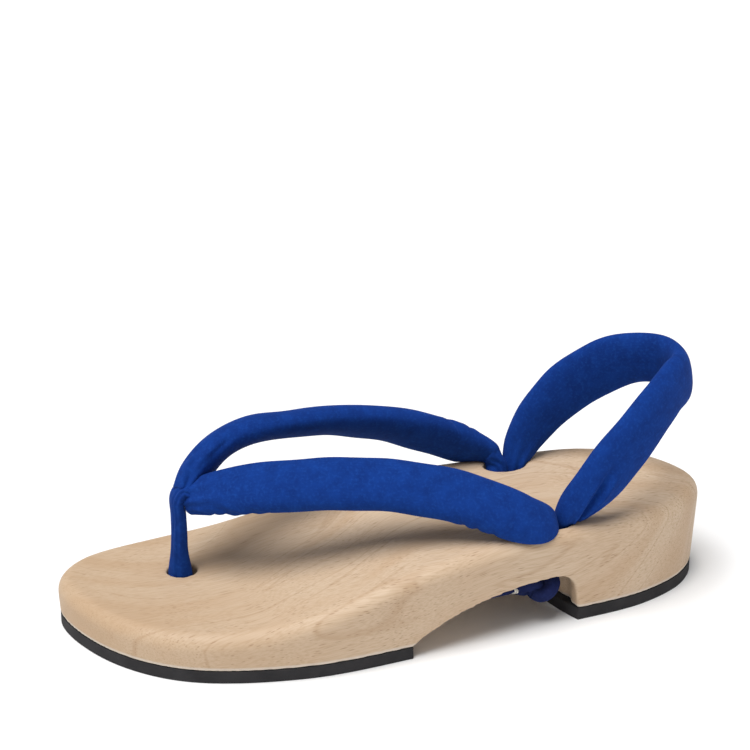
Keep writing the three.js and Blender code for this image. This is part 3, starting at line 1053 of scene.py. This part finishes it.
THREAD_TURNS = 3
THREAD_PITCH = 2.1 * THREAD
THREAD_SLACK = 0.3  # how far it stands off the tail's flat sides
THREAD_SIDES = 10
WHIPPING_STEPS = 90
WHIPPED_RING = 6  # the ring of the tail where the whipping starts


def swept(path, radius, sides, folds=0):
    """Rings round an open path, kept from twisting, with a radius at each of its points and any
    number of folds along it."""
    tangent = np.gradient(path, axis=0)
    tangent /= np.linalg.norm(tangent, axis=1)[:, None]
    normal = np.cross(tangent[0], (0.3, 0.2, 1))
    angle = np.linspace(0, 2 * math.pi, sides, endpoint=False)
    groove = FOLD_DEPTH * np.maximum(0, np.cos(folds * angle)) if folds else 0 * angle
    rings = []
    for centre, way, size in zip(path, tangent, radius):
        normal = normal - way * np.dot(normal, way)
        normal = normal / np.linalg.norm(normal)
        other = np.cross(way, normal)
        out = np.cos(angle)[:, None] * normal + np.sin(angle)[:, None] * other
        rings.append(centre + (size - groove)[:, None] * out)
    return np.array(rings)


def joined(name, parts):
    """One piece of several tubes, each given as its rings."""
    vertices, faces, first = [], [], 0
    for grid in parts:
        rings, sides = grid.shape[:2]
        vertices.append(grid.reshape(-1, 3))
        faces += [tuple(first + v for v in face) for face in grid_faces(rings, sides)]
        first += rings * sides
    piece = piece_from(name, np.vstack(vertices), faces)
    chart = piece.data.uv_layers.new(name="strap")
    places = np.array([piece.data.vertices[loop.vertex_index].co for loop in piece.data.loops])
    chart.data.foreach_set("uv", (places[:, :2] / MM).astype(np.float32).ravel())
    shade_smooth(piece)
    return piece


def tied_lump(low, high, side):
    """The strap ends pulled tight in a trefoil knot that fills its room, and its middle."""
    middle = np.array([(low[0] + high[0]) / 2, high[1] - KNOT_HALF_LENGTH, (low[2] + high[2]) / 2])
    half = np.array([(high[0] - low[0]) / 2, KNOT_HALF_LENGTH, (high[2] - low[2]) / 2])
    t = np.linspace(KNOT_START, 2 * math.pi + KNOT_START, KNOT_STEPS)
    trefoil = np.column_stack(
        [np.sin(t) + 2 * np.sin(2 * t), np.cos(t) - 2 * np.cos(2 * t), -np.sin(3 * t)]
    )
    trefoil /= np.abs(trefoil).max(axis=0)
    trefoil[:, 0] *= side
    path = middle + trefoil * (half - KNOT_CORD)
    return swept(path, np.full(KNOT_STEPS, KNOT_CORD), KNOT_SIDES, KNOT_FOLDS), middle


def flat_tail(neck, side):
    """The short end that lies towards the toes, and the path and radius of its rings."""
    share = np.linspace(0, 1, TAIL_STEPS)
    bend = TAIL_BEND * (np.sin(2.4 * share) - share)
    path = neck + np.column_stack([side * TAIL_DRIFT * share, -TAIL_LENGTH * share, bend])
    girth = TAIL_NECK + (1 - TAIL_NECK) * ease(0.1, 0.5, share) - TIP_LOSS * ease(0.9, 1, share)
    tail = swept(path, KNOT_CORD * girth, KNOT_SIDES)
    tail[..., 2] = path[:, None, 2] + TAIL_FLATNESS * (tail[..., 2] - path[:, None, 2])
    return tail, path, KNOT_CORD * girth


def whipping(start, radius):
    """Thread wound round the tail from one place on it towards the toes."""
    turns = np.linspace(0, 2 * math.pi * THREAD_TURNS, WHIPPING_STEPS)
    wrap = radius + THREAD
    path = start + np.column_stack(
        [
            wrap * np.cos(turns),
            -turns / (2 * math.pi) * THREAD_PITCH,
            (TAIL_FLATNESS * wrap + THREAD_SLACK) * np.sin(turns),
        ]
    )
    return swept(path, np.full(WHIPPING_STEPS, THREAD), THREAD_SIDES)


def knot_parts(node_name, side):
    """The tubes of a tied strap end in the room of its CAD body, and those of its whipping."""
    low, high = (np.array(corner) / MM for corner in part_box(node_name))
    lump, middle = tied_lump(low, high, side)
    tail, path, radius = flat_tail(middle + TAIL_START, side)
    return [lump, tail], [whipping(path[WHIPPED_RING], radius[WHIPPED_RING])]


# ---- Light and floor -----------------------------------------------------------------------

KEY_DIRECTION = (180, -350, 1300)  # where the key light stands, seen from the shoe
KEY_ANGLE = 40  # how large it looks, in degrees
KEY_STRENGTH = 3.3  # W/m2
SKY_BRIGHT, SKY_DIM = 0.95, 0.28  # the surroundings' strength near the horizon and overhead
SKY_FADE = (0.1, 0.25)  # sines of the heights that it falls between
FLOOR_HALF = 4000


def studio():
    """A pale floor, surroundings that are white at the horizon, and one soft light from above."""
    world = bpy.data.worlds.new("studio")
    world.use_nodes = True
    tree = world.node_tree
    # White at the horizon, and dimmer overhead.
    way = node(tree, "ShaderNodeTexCoord", {}).outputs["Generated"]
    climb = node(tree, "ShaderNodeSeparateXYZ", {0: way}).outputs["Z"]
    strength = node(
        tree,
        "ShaderNodeMapRange",
        {
            "Value": climb,
            "From Min": SKY_FADE[0],
            "From Max": SKY_FADE[1],
            "To Min": SKY_BRIGHT,
            "To Max": SKY_DIM,
        },
        interpolation_type="SMOOTHSTEP",
    ).outputs[0]
    background = tree.nodes["Background"]
    background.inputs["Color"].default_value = (1, 1, 1, 1)
    tree.links.new(strength, background.inputs["Strength"])
    bpy.context.scene.world = world

    corners = [(x * FLOOR_HALF, y * FLOOR_HALF, 0) for x, y in ((-1, -1), (1, -1), (1, 1), (-1, 1))]
    floor = piece_from("floor", corners, [(0, 1, 2, 3)])
    made, tree = material("painted_floor")
    # A faint roller texture, about 6 mm across.
    place = node(tree, "ShaderNodeTexCoord", {}).outputs["Object"]
    grain = node(tree, "ShaderNodeTexNoise", {"Vector": place, "Scale": 1 / (6 * MM)}).outputs["Fac"]
    relief = node(tree, "ShaderNodeBump", {"Strength": 0.02, "Distance": 0.1 * MM, "Height": grain})
    shader = node(
        tree,
        "ShaderNodeBsdfPrincipled",
        {"Base Color": colour("#f6f6f6"), "Roughness": 0.8, "Normal": relief.outputs[0]},
    )
    node(tree, "ShaderNodeOutputMaterial", {"Surface": shader.outputs[0]})
    floor.data.materials.append(made)

    # One large soft light, high over the toe end.
    data = bpy.data.lights.new("key", "SUN")
    data.angle = math.radians(KEY_ANGLE)
    data.energy = KEY_STRENGTH
    lamp = bpy.data.objects.new("key", data)
    lamp.rotation_mode = "QUATERNION"
    lamp.rotation_quaternion = Vector(KEY_DIRECTION).to_track_quat("Z", "Y")
    bpy.context.scene.collection.objects.link(lamp)
    bpy.context.scene.view_settings.view_transform = "Standard"
    bpy.context.scene.view_settings.look = "None"


# ---- Scene ---------------------------------------------------------------------------------

camera()
WOOD, RUBBER, COTTON = rubberwood(), sponge_rubber(), cotton_thread()
# The brushed face is royal blue. The tied ends get a darker, greyer navy copy of it: painted shade for
# the shade they hang in under the arch.
FACE = polyester_tricot("tricot_brushed_face", "#0d2e73", "#103783", "#1f4fa2", 0.1)
KNOT_SHADE_CLOTH = polyester_tricot("tricot_painted_shade", "#171d44", "#1e2750", "#2a3768", 0.05)


def dressed(piece, finish, slot, *nodes):
    """Gives a piece its material and its place among the CAD bodies."""
    piece.data.materials.clear()
    piece.data.materials.append(finish)
    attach(piece, "root")
    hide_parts(*nodes)
    return piece


dressed(wooden_sole(), WOOD, "wood", "base")
dressed(rubber_tread("rubber_front", tread_plan(front_line, -1)), RUBBER, "rubber", "front_outsole")
dressed(rubber_tread("rubber_heel", tread_plan(breast_line, 1)), RUBBER, "rubber", "heel_outsole")

outer = padded_strap(
    "outer_band", OUTER_BAND, OUTER_CREASES, [(9, 0.35, 14, 0.4), (8, 0.35, 16, 1.9)], 11
)
inner = padded_strap(
    "inner_band", INNER_BAND, INNER_CREASES, [(9, 0.35, 14, 2.2), (8, 0.35, 16, 0.7)], 12
)
post = padded_strap("toe_loop", TOE_POST, POST_CREASES, [(7, 0.25, 60, 0.9), (7, 0.2, 10, 0)], 13)
loop = padded_strap(
    "heel_band", HEEL_LOOP, LOOP_CREASES, [(8, 0.35, 26, 0.2), (8, 0.35, 26, 1.1)], 14
)
for strap in (outer, inner, post):
    dressed(strap, FACE, "fabric", "hanao")
dressed(loop, FACE, "fabric", "heel_strap")

studio()
for side, place in ((1, "lateral"), (-1, "medial")):
    tied, thread = knot_parts("knot_" + place, side)
    # The tied ends wear the darker copy of the cloth, which is painted shade.
    dressed(joined("tied_ends_" + place, tied), KNOT_SHADE_CLOTH, "fabric", "knot_" + place)
    dressed(joined("whipping_" + place, thread), COTTON, "fabric", "knot_" + place)
